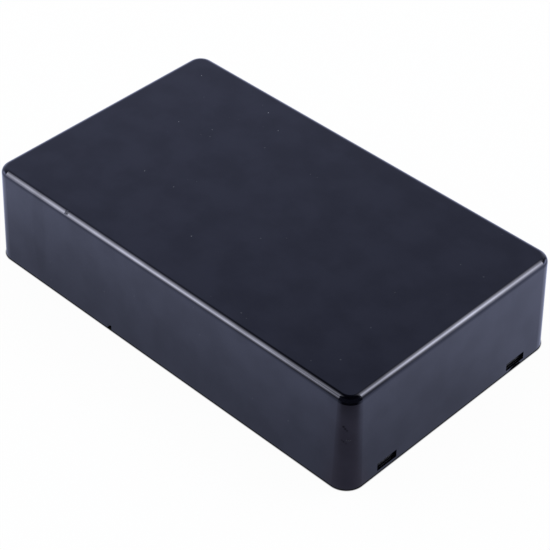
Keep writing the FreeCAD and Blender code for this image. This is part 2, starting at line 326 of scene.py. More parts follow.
class BoxFaces(EffectGroup):
    """Where a point lies in the drafted box: how deep under its outer faces, and how near their edges."""

    def __init__(self) -> None:
        """Make the group. The lean is the tangent of the walls' 2 degrees of draft."""
        super().__init__(
            "box_faces",
            {
                "Place": (Kind.VECTOR, (0.0, 0.0, 0.0)),
                "Half Length": (Kind.NUMBER, 50.0),
                "Half Width": (Kind.NUMBER, 30.0),
                "Height": (Kind.NUMBER, 22.5),
                "Lean": (Kind.NUMBER, 0.035),
            },
            {"Depth": Kind.NUMBER, "Edge": Kind.NUMBER},
        )

    def draw(self) -> None:
        """Measure the depth under each pair of faces, then take the smallest and the middle one."""
        sheet, given = self.sheet, self.inputs
        along, across, up = sheet.axes(given["Place"])
        lean = sheet.sum(Op.MULTIPLY, up, given["Lean"])
        half_length = sheet.sum(Op.SUBTRACT, given["Half Length"], lean)
        half_width = sheet.sum(Op.SUBTRACT, given["Half Width"], lean)
        end = sheet.sum(Op.SUBTRACT, half_length, sheet.sum(Op.SIZE, along))
        side = sheet.sum(Op.SUBTRACT, half_width, sheet.sum(Op.SIZE, across))
        top = sheet.sum(Op.SUBTRACT, given["Height"], up)
        wall = sheet.sum(Op.SMALLER, end, side)
        corner = sheet.sum(Op.LARGER, end, side)
        middle = sheet.sum(Op.SMALLER, sheet.sum(Op.LARGER, wall, top), corner)
        self.give(Depth=sheet.sum(Op.SMALLER, wall, top), Edge=middle)


class Knock(EffectGroup):
    """One small knock: a ragged pit with a pale raised rim, at a point on the surface."""

    fray_size: float = 0.35
    pit_edge: Range = (0.45, 0.75)
    rim_edge: Range = (0.9, 1.3)

    def __init__(self) -> None:
        """Make the group."""
        super().__init__(
            "knock",
            {
                "Place": (Kind.VECTOR, (0.0, 0.0, 0.0)),
                "Point": (Kind.VECTOR, (0.0, 0.0, 0.0)),
                "Stretch": (Kind.VECTOR, (1.0, 1.0, 1.0)),
                "Reach": (Kind.NUMBER, 0.4),
            },
            {"Pit": Kind.NUMBER, "Rim": Kind.NUMBER},
        )

    def draw(self) -> None:
        """Measure the distance in shares of the reach, with a ragged outline."""
        sheet, given = self.sheet, self.inputs
        away = sheet.vector(VectorOp.SUBTRACT, given["Place"], given["Point"])
        away = sheet.vector(VectorOp.MULTIPLY, away, given["Stretch"])
        away = sheet.vector(VectorOp.LENGTH, away)
        ragged = sheet.sum(Op.ADD, sheet.noise(given["Place"], self.fray_size), MIDDLE)
        share = sheet.sum(Op.MULTIPLY, sheet.sum(Op.DIVIDE, away, given["Reach"]), ragged)
        inner = sheet.step(share, *self.pit_edge)
        outer = sheet.step(share, *self.rim_edge, (1.0, 0.0))
        self.give(Pit=sheet.sum(Op.SUBTRACT, 1.0, inner), Rim=sheet.sum(Op.MULTIPLY, inner, outer))


@dataclass(frozen=True)
class Effects:
    """The node groups that the finishes place."""

    skin: MouldedSkin
    handling: Handling
    faces: BoxFaces
    knock: Knock


@dataclass(frozen=True)
class Mark:
    """A mark that the photograph shows, in millimetres, its depth measured down from the box's top.

    Its strength is a share of the full mark.
    """

    along: float
    across: float
    depth: float
    reach: float
    stretch: Triple = (1.0, 1.0, 1.0)
    strength: float = 1.0

    def point(self, height: float) -> Triple:
        """Return the mark's place on a box of the given height."""
        return (self.along, self.across, height - self.depth)

    def spot(self, sheet: NodeSheet, place: Value, ragged: Value, height: float) -> bpy.types.NodeSocket:
        """Draw the mark as a plain spot, in the material itself.

        Args:
            sheet: The material's sheet.
            place: The place in millimetres.
            ragged: Factor on the distance, about 1, that frays the spot's outline.
            height: The box's height in millimetres.

        Returns:
            The mask, from the mark's strength in the middle to 0 outside.
        """
        away = sheet.vector(VectorOp.SUBTRACT, place, self.point(height))
        away = sheet.vector(VectorOp.MULTIPLY, away, self.stretch)
        away = sheet.sum(Op.MULTIPLY, sheet.vector(VectorOp.LENGTH, away), ragged)
        low, high = (share * self.reach for share in Knock.pit_edge)
        return sheet.step(away, low, high, (self.strength, 0.0))


@dataclass(frozen=True)
class Canvas:
    """A material that is being painted, with what every part of it reads."""

    material: bpy.types.Material
    sheet: NodeSheet
    place: bpy.types.NodeSocket
    traces: bpy.types.bpy_prop_collection


@dataclass(frozen=True)
class MarkMasks:
    """Masks of the marks that the photograph shows."""

    pit: Value
    rim: Value
    # Less gloss, from real dull marks and from painted shade.
    dulled_and_painted_shade: Value
    dust: Value


def blank_material(name: str) -> tuple[bpy.types.Material, NodeSheet]:
    """Make a material without nodes.

    Args:
        name: The material's name.

    Returns:
        The material and its sheet.
    """
    material = bpy.data.materials.new(name)
    material.use_nodes = True
    material.node_tree.nodes.clear()
    return material, NodeSheet(material.node_tree)


def dimmed(colour: Colour, share: float) -> Colour:
    """Return a share of a colour, opaque."""
    return (*(share * part for part in colour[:3]), 1.0)


@dataclass(frozen=True)
class Plastic:
    """A black moulded plastic and how far it has been handled. Lengths are millimetres."""

    name: str
    body_colour: Colour
    dust_colour: Colour
    bare_roughness: float
    smudged_roughness: float
    swell_height: float
    grain_size: float
    grain_height: float
    scratches: float
    dust: float
    smudges: float

    def start(self, effects: Effects) -> Canvas:
        """Make the material with its millimetre coordinates and its traces of handling.

        Args:
            effects: The shared effects.

        Returns:
            The canvas to paint on.
        """
        material, sheet = blank_material(self.name)
        metres = sheet.add("ShaderNodeTexCoord").outputs["Object"]
        scaled = sheet.add("ShaderNodeVectorMath", {0: metres, "Scale": TO_MILLIMETRES}, operation="SCALE")
        place = scaled.outputs[0]
        traces = effects.handling.place(
            sheet, Place=place, Scratches=self.scratches, Dust=self.dust, Smudges=self.smudges
        )
        return Canvas(material, sheet, place, traces)

    def smudged(self, canvas: Canvas) -> bpy.types.NodeSocket:
        """Return the roughness between bare and smudged plastic."""
        ends = (self.bare_roughness, self.smudged_roughness)
        return canvas.sheet.step(canvas.traces["Smudge"], 0.0, 1.0, ends)

    def finish(
        self, sheet: NodeSheet, colour: Value, roughness: Value, height: Value, **others: Value
    ) -> None:
        """Close the material with its shader.

        Args:
            sheet: The material's sheet.
            colour: Base colour.
            roughness: Roughness.
            height: Height of the surface in millimetres.
            **others: Values for other shader inputs, with underscores for the spaces.
        """
        ends = {"Strength": 1.0, "Distance": 1.0 / TO_MILLIMETRES, "Height": height}
        bump = sheet.add("ShaderNodeBump", ends)
        inputs = {"Base Color": colour, "Roughness": roughness, "Normal": bump.outputs[0]}
        inputs |= {label.replace("_", " "): value for label, value in others.items()}
        shader = sheet.add("ShaderNodeBsdfPrincipled", inputs)
        sheet.add("ShaderNodeOutputMaterial", {"Surface": shader.outputs[0]})


@dataclass(frozen=True)
class GlossBlack(Plastic):
    """The cover's plastic: polished outside, satin inside where the tool was left as machined."""

    inner_colour: Colour
    inner_roughness: float
    inner_grain: float
    bruise_colour: Colour
    # Spots with less gloss: real dull marks, and painted shade on a band of the front and on the far window's
    # sill.
    dull_spots_and_painted_shade: tuple[Mark, ...]
    knocks: tuple[Mark, ...]
    specks: tuple[Mark, ...]
    polish_depth: Range = (1.25, 1.6)
    rub_reach: Range = (0.2, 1.5)
    rub_size: float = 2.5
    rub_detail: float = 4.0
    rub_edge: Range = (0.45, 0.75)
    cloud_size: float = 7.0
    cloud_detail: float = 3.0
    cloud_gloss: Range = (0.45, 0.55)
    shade_size: float = 30.0
    shade_detail: float = 3.0
    shade_share: float = 0.8
    bruise_share: float = 0.9
    scratch_roughness: float = 0.12
    rub_roughness: float = 0.05
    knock_roughness: float = 0.25
    dust_roughness: float = 0.7
    rim_height: float = 0.03
    pit_depth: float = 0.06
    scratch_depth: float = 0.0012
    index: float = 1.57
    tint: Colour = (0.85, 0.88, 1.0, 1.0)

    def make(self, effects: Effects, size: Vector) -> bpy.types.Material:
        """Build the material.

        Args:
            effects: The shared effects.
            size: The box's length, width and height in millimetres.

        Returns:
            The finished material.
        """
        canvas = self.start(effects)
        sheet, place = canvas.sheet, canvas.place
        faces = effects.faces.place(
            sheet, Place=place, Half_Length=size.x / 2, Half_Width=size.y / 2, Height=size.z
        )
        inner = sheet.step(faces["Depth"], *self.polish_depth)
        marks = self.draw_marks(canvas, effects, size.z)
        cloud = sheet.noise(place, self.cloud_size, self.cloud_detail)
        cloud = sheet.step(cloud, *MOST_NOISE, self.cloud_gloss)
        self.finish(
            sheet,
            self.draw_colour(canvas, inner, marks),
            self.draw_roughness(canvas, inner, faces["Edge"], marks),
            self.draw_height(canvas, effects, inner, marks),
            # The gloss is lowered by the dull marks and by the painted shade.
            Specular_IOR_Level=sheet.sum(Op.MULTIPLY, cloud, sheet.sum(Op.SUBTRACT, 1.0, marks.dulled_and_painted_shade)),
            IOR=self.index,
            Specular_Tint=self.tint,
        )
        return canvas.material

    def draw_marks(self, canvas: Canvas, effects: Effects, height: float) -> MarkMasks:
        """Draw the knocks, the spots with less gloss, the painted shade that lowers the gloss, and the larger
        dust specks.

        Args:
            canvas: The material.
            effects: The shared effects.
            height: The box's height in millimetres.

        Returns:
            The masks.
        """
        sheet, place = canvas.sheet, canvas.place
        pit, rim, dulled_and_painted_shade, dust = 0.0, 0.0, 0.0, canvas.traces["Dust"]
        for mark in self.knocks:
            drawn = effects.knock.place(
                sheet, Place=place, Point=mark.point(height), Reach=mark.reach, Stretch=mark.stretch
            )
            pit = sheet.sum(Op.LARGER, pit, drawn["Pit"])
            rim = sheet.sum(Op.LARGER, rim, sheet.sum(Op.MULTIPLY, drawn["Rim"], mark.strength))
        ragged = sheet.sum(Op.ADD, sheet.noise(place, Knock.fray_size), MIDDLE)
        # Real dull marks and painted shade, both taken off the gloss.
        for mark in self.dull_spots_and_painted_shade:
            dulled_and_painted_shade = sheet.sum(Op.LARGER, dulled_and_painted_shade, mark.spot(sheet, place, ragged, height))
        for mark in self.specks:
            dust = sheet.sum(Op.LARGER, dust, mark.spot(sheet, place, ragged, height))
        return MarkMasks(pit, rim, dulled_and_painted_shade, dust)

    def draw_colour(self, canvas: Canvas, inner: Value, marks: MarkMasks) -> bpy.types.NodeSocket:
        """Colour the body, the inside, the bruised rims and the dust.

        Args:
            canvas: The material.
            inner: Mask of the inside.
            marks: Masks of the marks.

        Returns:
            The base colour.
        """
        sheet = canvas.sheet
        shade = sheet.step(sheet.noise(canvas.place, self.shade_size, self.shade_detail), *MOST_NOISE)
        body = sheet.blend(shade, self.body_colour, dimmed(self.body_colour, self.shade_share))
        colour = sheet.blend(inner, body, self.inner_colour)
        colour = sheet.blend(sheet.sum(Op.MULTIPLY, marks.rim, self.bruise_share), colour, self.bruise_colour)
        return sheet.blend(marks.dust, colour, self.dust_colour)

    def draw_roughness(
        self, canvas: Canvas, inner: Value, edge: Value, marks: MarkMasks
    ) -> bpy.types.NodeSocket:
        """Dull the polish where it is smudged, scratched, rubbed, knocked or dusty.

        Args:
            canvas: The material.
            inner: Mask of the inside.
            edge: Distance to the box's nearest edge in millimetres.
            marks: Masks of the marks.

        Returns:
            The roughness.
        """
        sheet = canvas.sheet
        patches = sheet.step(sheet.noise(canvas.place, self.rub_size, self.rub_detail), *self.rub_edge)
        rub = sheet.sum(Op.MULTIPLY, sheet.step(edge, *self.rub_reach, (1.0, 0.0)), patches)
        polish = self.smudged(canvas)
        for mask, dulling in (
            (canvas.traces["Scratch"], self.scratch_roughness),
            (rub, self.rub_roughness),
            (sheet.sum(Op.LARGER, marks.pit, marks.rim), self.knock_roughness),
        ):
            polish = sheet.sum(Op.ADD, polish, sheet.sum(Op.MULTIPLY, mask, dulling))
        satin = sheet.sum(Op.MULTIPLY, inner, self.inner_roughness)
        dusty = sheet.sum(Op.MULTIPLY, marks.dust, self.dust_roughness)
        return sheet.sum(Op.LARGER, sheet.sum(Op.LARGER, polish, satin), dusty)

    def draw_height(
        self, canvas: Canvas, effects: Effects, inner: Value, marks: MarkMasks
    ) -> bpy.types.NodeSocket:
        """Shape the skin, the knocks and the scratches.

        Args:
            canvas: The material.
            effects: The shared effects.
            inner: Mask of the inside, which has the coarser grain.
            marks: Masks of the marks.

        Returns:
            The height in millimetres.
        """
        sheet = canvas.sheet
        skin = effects.skin.place(
            sheet, Place=canvas.place, Swell_Height=self.swell_height, Grain_Size=self.grain_size,
            Grain_Height=sheet.step(inner, 0.0, 1.0, (self.grain_height, self.inner_grain)),
        )["Height"]
        raised = sheet.sum(Op.MULTIPLY, marks.rim, self.rim_height)
        knocked = sheet.sum(Op.SUBTRACT, raised, sheet.sum(Op.MULTIPLY, marks.pit, self.pit_depth))
        outer = sheet.sum(Op.SUBTRACT, 1.0, inner)
        scratch = sheet.sum(Op.MULTIPLY, canvas.traces["Scratch"], outer)
        cut = sheet.sum(Op.MULTIPLY, scratch, self.scratch_depth)
        return sheet.sum(Op.SUBTRACT, sheet.sum(Op.ADD, skin, knocked), cut)


@dataclass(frozen=True)
class SatinBlack(Plastic):
    """The base plate's plastic: an even satin, scuffed grey where the underside slides on a bench."""

    scuff_colour: Colour
    underside: Range = (0.02, 0.2)
    cloud_size: float = 21.0
    cloud_detail: float = 4.0
    cloud_share: float = 0.75
    scuff_size: float = 6.0
    scuff_detail: float = 6.0
    scuff_edge: Range = (0.5, 0.72)
    scuff_share: float = 0.35
    scuff_roughness: float = 0.15
    scratch_depth: float = 0.002
    index: float = 1.53
    specular: float = 0.2

    def make(self, effects: Effects) -> bpy.types.Material:
        """Build the material.

        Args:
            effects: The shared effects.

        Returns:
            The finished material.
        """
        canvas = self.start(effects)
        sheet, place, traces = canvas.sheet, canvas.place, canvas.traces
        _, _, up = sheet.axes(place)
        under = sheet.step(up, *self.underside, (1.0, 0.0))
        rubbed = sheet.step(sheet.noise(place, self.scuff_size, self.scuff_detail), *self.scuff_edge)
        rubbed = sheet.sum(Op.MULTIPLY, sheet.sum(Op.MULTIPLY, under, rubbed), self.scuff_share)
        scuff = sheet.sum(Op.LARGER, rubbed, sheet.sum(Op.MULTIPLY, traces["Scratch"], under))
        cloud = sheet.step(sheet.noise(place, self.cloud_size, self.cloud_detail), *MOST_NOISE)
        colour = sheet.blend(cloud, self.body_colour, dimmed(self.body_colour, self.cloud_share))
        colour = sheet.blend(scuff, colour, self.scuff_colour)
        colour = sheet.blend(traces["Dust"], colour, self.dust_colour)
        dulling = sheet.sum(Op.MULTIPLY, scuff, self.scuff_roughness)
        roughness = sheet.sum(Op.ADD, self.smudged(canvas), dulling)
        skin = effects.skin.place(
            sheet, Place=place, Swell_Height=self.swell_height,
            Grain_Size=self.grain_size, Grain_Height=self.grain_height,
        )["Height"]
        height = sheet.sum(Op.SUBTRACT, skin, sheet.sum(Op.MULTIPLY, traces["Scratch"], self.scratch_depth))
        self.finish(sheet, colour, roughness, height, Specular_IOR_Level=self.specular, IOR=self.index)
        return canvas.material


@dataclass
class CoverShell:
    """The deep cover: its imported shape, dressed in gloss black."""

    node: str = "cover_shell"
    finish: GlossBlack = GlossBlack(
        name="cover_gloss_black",
        body_colour=(0.0011, 0.0011, 0.0027, 1.0),
        dust_colour=(0.16, 0.165, 0.18, 1.0),
        bare_roughness=0.05,
        smudged_roughness=0.1,
        swell_height=0.03,
        grain_size=0.8,
        grain_height=0.0004,
        scratches=0.5,
        dust=0.2,
        smudges=1.0,
        inner_colour=(0.014, 0.015, 0.02, 1.0),
        inner_roughness=0.42,
        inner_grain=0.006,
        bruise_colour=(0.05, 0.052, 0.062, 1.0),
        dull_spots_and_painted_shade=(
            # Painted shade: a faint dark upright band on the front, a shadow edge in what the front mirrors.
            Mark(along=-36.0, across=-29.5, depth=9.0, reach=3.2, stretch=(1.0, 0.5, 0.17), strength=0.13),
            # Painted shade: the sill under the far window, its gloss taken off so that it reads black.
            Mark(along=50.0, across=19.2, depth=22.2, reach=0.75, stretch=(1.0, 0.25, 1.0)),
            Mark(along=-27.7, across=-28.65, depth=0.26, reach=0.42, strength=0.3),
            Mark(along=47.5, across=-29.0, depth=6.65, reach=0.36, strength=0.75),
            Mark(along=47.8, across=-28.87, depth=7.05, reach=0.36, strength=0.65),
            Mark(along=48.1, across=-28.73, depth=7.45, reach=0.34, strength=0.5),
            Mark(along=47.4, across=-29.25, depth=10.0, reach=0.32, strength=0.4),
            Mark(along=47.75, across=-29.1, depth=10.3, reach=0.32, strength=0.5),
            Mark(along=48.1, across=-28.87, depth=10.6, reach=0.32, strength=0.3),
        ),
        knocks=(
            Mark(along=-27.7, across=-28.65, depth=0.26, reach=0.42),
            Mark(along=48.4, across=-28.57, depth=9.8, reach=0.18, stretch=(0.38, 0.38, 1.2), strength=0.4),
        ),
        specks=tuple(
            Mark(along, across, depth=0.0, reach=reach)
            for along, across, reach in (
                (-42.7, 23.1, 0.2), (-33.9, 7.9, 0.16), (-22.8, 23.5, 0.18), (-26.9, 10.9, 0.15),
                (-16.9, 20.4, 0.16), (-26.5, -8.7, 0.16), (-18.5, -8.2, 0.14), (-4.7, -16.5, 0.15),
            )
        ),
    )

    def dress(self, effects: Effects) -> None:
        """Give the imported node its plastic, in its own material slot.

        Args:
            effects: The shared effects.
        """
        low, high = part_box(self.node)
        size = TO_MILLIMETRES * (Vector(high) - Vector(low))
        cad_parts[self.node].material_slots[0].material = self.finish.make(effects, size)


@dataclass
class BasePlate:
    """The flat base plate with its rim, catches and posts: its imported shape, dressed in satin black."""

    node: str = "base_plate"
    finish: SatinBlack = SatinBlack(
        name="plate_satin_black",
        body_colour=(0.009, 0.0095, 0.013, 1.0),
        dust_colour=(0.14, 0.145, 0.16, 1.0),
        bare_roughness=0.42,
        smudged_roughness=0.52,
        swell_height=0.02,
        grain_size=0.35,
        grain_height=0.006,
        scratches=0.8,
        dust=0.4,
        smudges=1.0,
        scuff_colour=(0.06, 0.062, 0.07, 1.0),
    )

    def dress(self, effects: Effects) -> None:
        """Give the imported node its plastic, in its own material slot.

        Args:
            effects: The shared effects.
        """
        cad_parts[self.node].material_slots[0].material = self.finish.make(effects)


def towards(azimuth: float, elevation: float = 0.0) -> Vector:
    """Give the direction from the box to a place round it.

    Args:
        azimuth: Degrees from the long front side towards the right end.
        elevation: Degrees above the floor.

    Returns:
        The unit direction.
    """
    turn, rise = math.radians(azimuth), math.radians(elevation)
    return Vector((math.sin(turn) * math.cos(rise), -math.cos(turn) * math.cos(rise), math.sin(rise)))


def sine(angle: float) -> float:
    """Return the sine of an angle in degrees."""
    return math.sin(math.radians(angle))


def cosine(angle: float) -> float:
    """Return the cosine of an angle in degrees."""
    return math.cos(math.radians(angle))


@dataclass
class PhotoCamera:
    """The photograph's camera, fitted to the box's outline in it. Lengths are metres, angles degrees."""

    azimuth: float = 43.632
    elevation: float = 40.604
    roll: float = 0.859
    distance: float = 0.39344
    lens: float = 124.788
    aside: float = 0.0016959
    above: float = 0.0040575
    clip: float = 0.01

    def build(self) -> bpy.types.Object:
        """Place the camera and make it the scene's own.

        Returns:
            The camera object.
        """
        back = towards(self.azimuth, self.elevation)
        level = (-back).cross(Vector((0.0, 0.0, 1.0))).normalized()
        upright = level.cross(-back)
        right = level * cosine(self.roll) + upright * sine(self.roll)
        up = upright * cosine(self.roll) - level * sine(self.roll)
        camera = bpy.data.objects.new("photo_camera", bpy.data.cameras.new("photo_camera"))
        bpy.context.scene.collection.objects.link(camera)
        camera.data.sensor_width = SENSOR
        camera.data.lens = self.lens
        camera.data.clip_start = self.clip
        turned = Matrix((right, up, back)).transposed().to_4x4()
        place = back * self.distance + right * self.aside + up * self.above
        camera.matrix_world = Matrix.Translation(place) @ turned
        bpy.context.scene.camera = camera
        return camera


@dataclass(frozen=True)
class SoftLamp:
    """A soft lamp that faces the box. The gloss shows the room's bright panes in its place."""

    name: str
    azimuth: float
    elevation: float
    side: float
    radiance: float
    distance: float = 0.9
    colour: Triple = (0.94, 0.96, 1.0)

    def build(self) -> None:
        """Place the lamp and aim it at the middle of the box."""
        lamp = bpy.data.lights.new(self.name, "AREA")
        lamp.shape = "SQUARE"
        lamp.size = self.side
        lamp.color = self.colour
        lamp.energy = self.radiance * math.pi * self.side**2
        fitting = bpy.data.objects.new(self.name, lamp)
        bpy.context.scene.collection.objects.link(fitting)
        place = towards(self.azimuth, self.elevation)
        fitting.location = place * self.distance
        fitting.rotation_euler = place.to_track_quat("Z", "Y").to_euler()
        fitting.visible_camera = False
        fitting.visible_glossy = False


@dataclass(frozen=True)
class Pane:
    """A bright soft-edged pane of the room, leaning by its tilt. Angles are degrees."""

    azimuth: float
    elevation: float
    tilt: float
    half_width: float
    side_fade: float
    half_height: float
    low_fade: float
    high_fade: float
    strength: float
    facing: Range = (0.0, 0.1)

    def glow(self, sheet: NodeSheet, aim: Value) -> bpy.types.NodeSocket:
        """Draw the pane's light.

        Args:
            sheet: The room's sheet.
            aim: Unit direction from the box to the room's wall.

        Returns:
            The pane's brightness.
        """
        level = towards(self.azimuth + QUARTER_TURN)
        upright = towards(self.azimuth, self.elevation + QUARTER_TURN)
        aside = sheet.vector(VectorOp.DOT, aim, level * cosine(self.tilt) + upright * sine(self.tilt))
        above = sheet.vector(VectorOp.DOT, aim, upright * cosine(self.tilt) - level * sine(self.tilt))
        ahead = sheet.vector(VectorOp.DOT, aim, towards(self.azimuth, self.elevation))
        inside, outside = self.half_width - self.side_fade, self.half_width + self.side_fade
        glow = sheet.step(sheet.sum(Op.SIZE, aside), sine(inside), sine(outside), (self.strength, 0.0))
        foot = (sine(-self.half_height - self.low_fade), sine(self.low_fade - self.half_height))
        head = (sine(self.half_height - self.high_fade), sine(self.half_height + self.high_fade))
        for share in (
            sheet.step(above, *foot), sheet.step(above, *head, (1.0, 0.0)), sheet.step(ahead, *self.facing)
        ):
            glow = sheet.sum(Op.MULTIPLY, glow, share)
        return glow


@dataclass(frozen=True)
class Footprint:
    """The round-cornered patch of floor that the box covers, in metres."""

    half_length: float = 0.05
    half_width: float = 0.03
    corner_round: float = 0.004

    def clearance(self, sheet: NodeSheet, place: Value) -> bpy.types.NodeSocket:
        """Measure how far a place on the floor is outside the footprint.

        Args:
            sheet: The sheet of the material that asks.
            place: The place, in metres.

        Returns:
            The clearance in metres, below zero inside.
        """
        along, across, _ = sheet.axes(place)
        past_end = sheet.sum(Op.SUBTRACT, sheet.sum(Op.SIZE, along), self.half_length - self.corner_round)
        past_side = sheet.sum(Op.SUBTRACT, sheet.sum(Op.SIZE, across), self.half_width - self.corner_round)
        beyond = {0: sheet.sum(Op.LARGER, past_end, 0.0), 1: sheet.sum(Op.LARGER, past_side, 0.0)}
        out = sheet.vector(VectorOp.LENGTH, sheet.add("ShaderNodeCombineXYZ", beyond).outputs[0])
        inside = sheet.sum(Op.SMALLER, sheet.sum(Op.LARGER, past_end, past_side), 0.0)
        return sheet.sum(Op.SUBTRACT, sheet.sum(Op.ADD, out, inside), self.corner_round)

    def near_corner(self) -> Vector:
        """Return the middle of the round at the corner that the photograph looks at."""
        return Vector((self.half_length - self.corner_round, self.corner_round - self.half_width, 0.0))


def light_path(sheet: NodeSheet) -> tuple[bpy.types.NodeSocket, bpy.types.NodeSocket]:
    """Return masks of the rays from the camera, and of the rays that gloss and glass send on."""
    rays = sheet.add("ShaderNodeLightPath").outputs
    return rays["Is Camera Ray"], sheet.sum(Op.LARGER, rays["Is Glossy Ray"], rays["Is Transmission Ray"])


def stand_card(name: str) -> tuple[NodeSheet, bpy.types.NodeSocket]:
    """Make the active object a card that only reflections see.

    Args:
        name: The card's name.

    Returns:
        The sheet of its material, and the place on it.
    """
    card = bpy.context.object
    card.name = name
    material, sheet = blank_material(name)
    card.data.materials.append(material)
    for ray in ("camera", "diffuse", "transmission", "volume_scatter", "shadow"):
        setattr(card, f"visible_{ray}", False)
    return sheet, sheet.add("ShaderNodeTexCoord").outputs["Object"]


@dataclass(frozen=True)
class RoomLight:
    """The background: white to the eye and to gloss, and a quiet light for the rest."""

    strength: float = 0.6
    colour: Colour = (0.92, 0.95, 1.0, 1.0)

    def build(self) -> None:
        """Make the world."""
        world = bpy.data.worlds.new("studio_room")
        bpy.context.scene.world = world
        world.use_nodes = True
        world.node_tree.nodes.clear()
        sheet = NodeSheet(world.node_tree)
        seen, mirrored = light_path(sheet)
        room = sheet.add("ShaderNodeBackground", {0: self.colour, 1: self.strength})
        white = sheet.add("ShaderNodeBackground", {0: WHITE, 1: 1.0})
        share = sheet.sum(Op.LARGER, seen, mirrored)
        both = sheet.add("ShaderNodeMixShader", {0: share, 1: room.outputs[0], 2: white.outputs[0]})
        sheet.add("ShaderNodeOutputWorld", {0: both.outputs[0]})


@dataclass(frozen=True)
class PaleFloor:
    """The pale floor, which keeps a soft shadow of the box and has a near-black painted shade under it.
    Lengths are metres.
    """

    radius: float = 3.0
    vertices: int = 96
    drop: float = 0.00002
    colour: Colour = (0.9, 0.9, 0.9, 1.0)
    painted_shade_colour: Colour = (0.01, 0.01, 0.01, 1.0)
    painted_shade_edge: float = 0.0003
    lift_seen: float = 0.96
    lift_mirrored: float = 0.12

    def build(self, footprint: Footprint, room: RoomLight) -> None:
        """Lay the floor and dress it.

        Args:
            footprint: The patch that the box covers.
            room: The room's light, whose colour the mirrored floor has.
        """
        bpy.ops.mesh.primitive_circle_add(
            vertices=self.vertices, radius=self.radius, fill_type="NGON", location=(0.0, 0.0, -self.drop)
        )
        floor = bpy.context.object
        floor.name = "floor"
        material, sheet = blank_material("floor_pale_paper")
        seen, mirrored = light_path(sheet)
        clear = footprint.clearance(sheet, sheet.add("ShaderNodeTexCoord").outputs["Object"])
        bare = sheet.step(clear, 0.0, self.painted_shade_edge)
        share = sheet.sum(
            Op.ADD,
            sheet.sum(Op.MULTIPLY, seen, self.lift_seen),
            sheet.sum(Op.MULTIPLY, mirrored, self.lift_mirrored),
        )
        share = sheet.sum(Op.MULTIPLY, share, bare)
        # Painted shade: under the box the paper takes the near-black painted shade colour, and the lift is
        # off there.
        paper = sheet.add("ShaderNodeBsdfDiffuse", {0: sheet.blend(bare, self.painted_shade_colour, self.colour)})
        white = sheet.add("ShaderNodeEmission", {0: sheet.blend(mirrored, WHITE, room.colour), 1: 1.0})
        both = sheet.add("ShaderNodeMixShader", {0: share, 1: paper.outputs[0], 2: white.outputs[0]})
        sheet.add("ShaderNodeOutputMaterial", {0: both.outputs[0]})
        floor.data.materials.append(material)


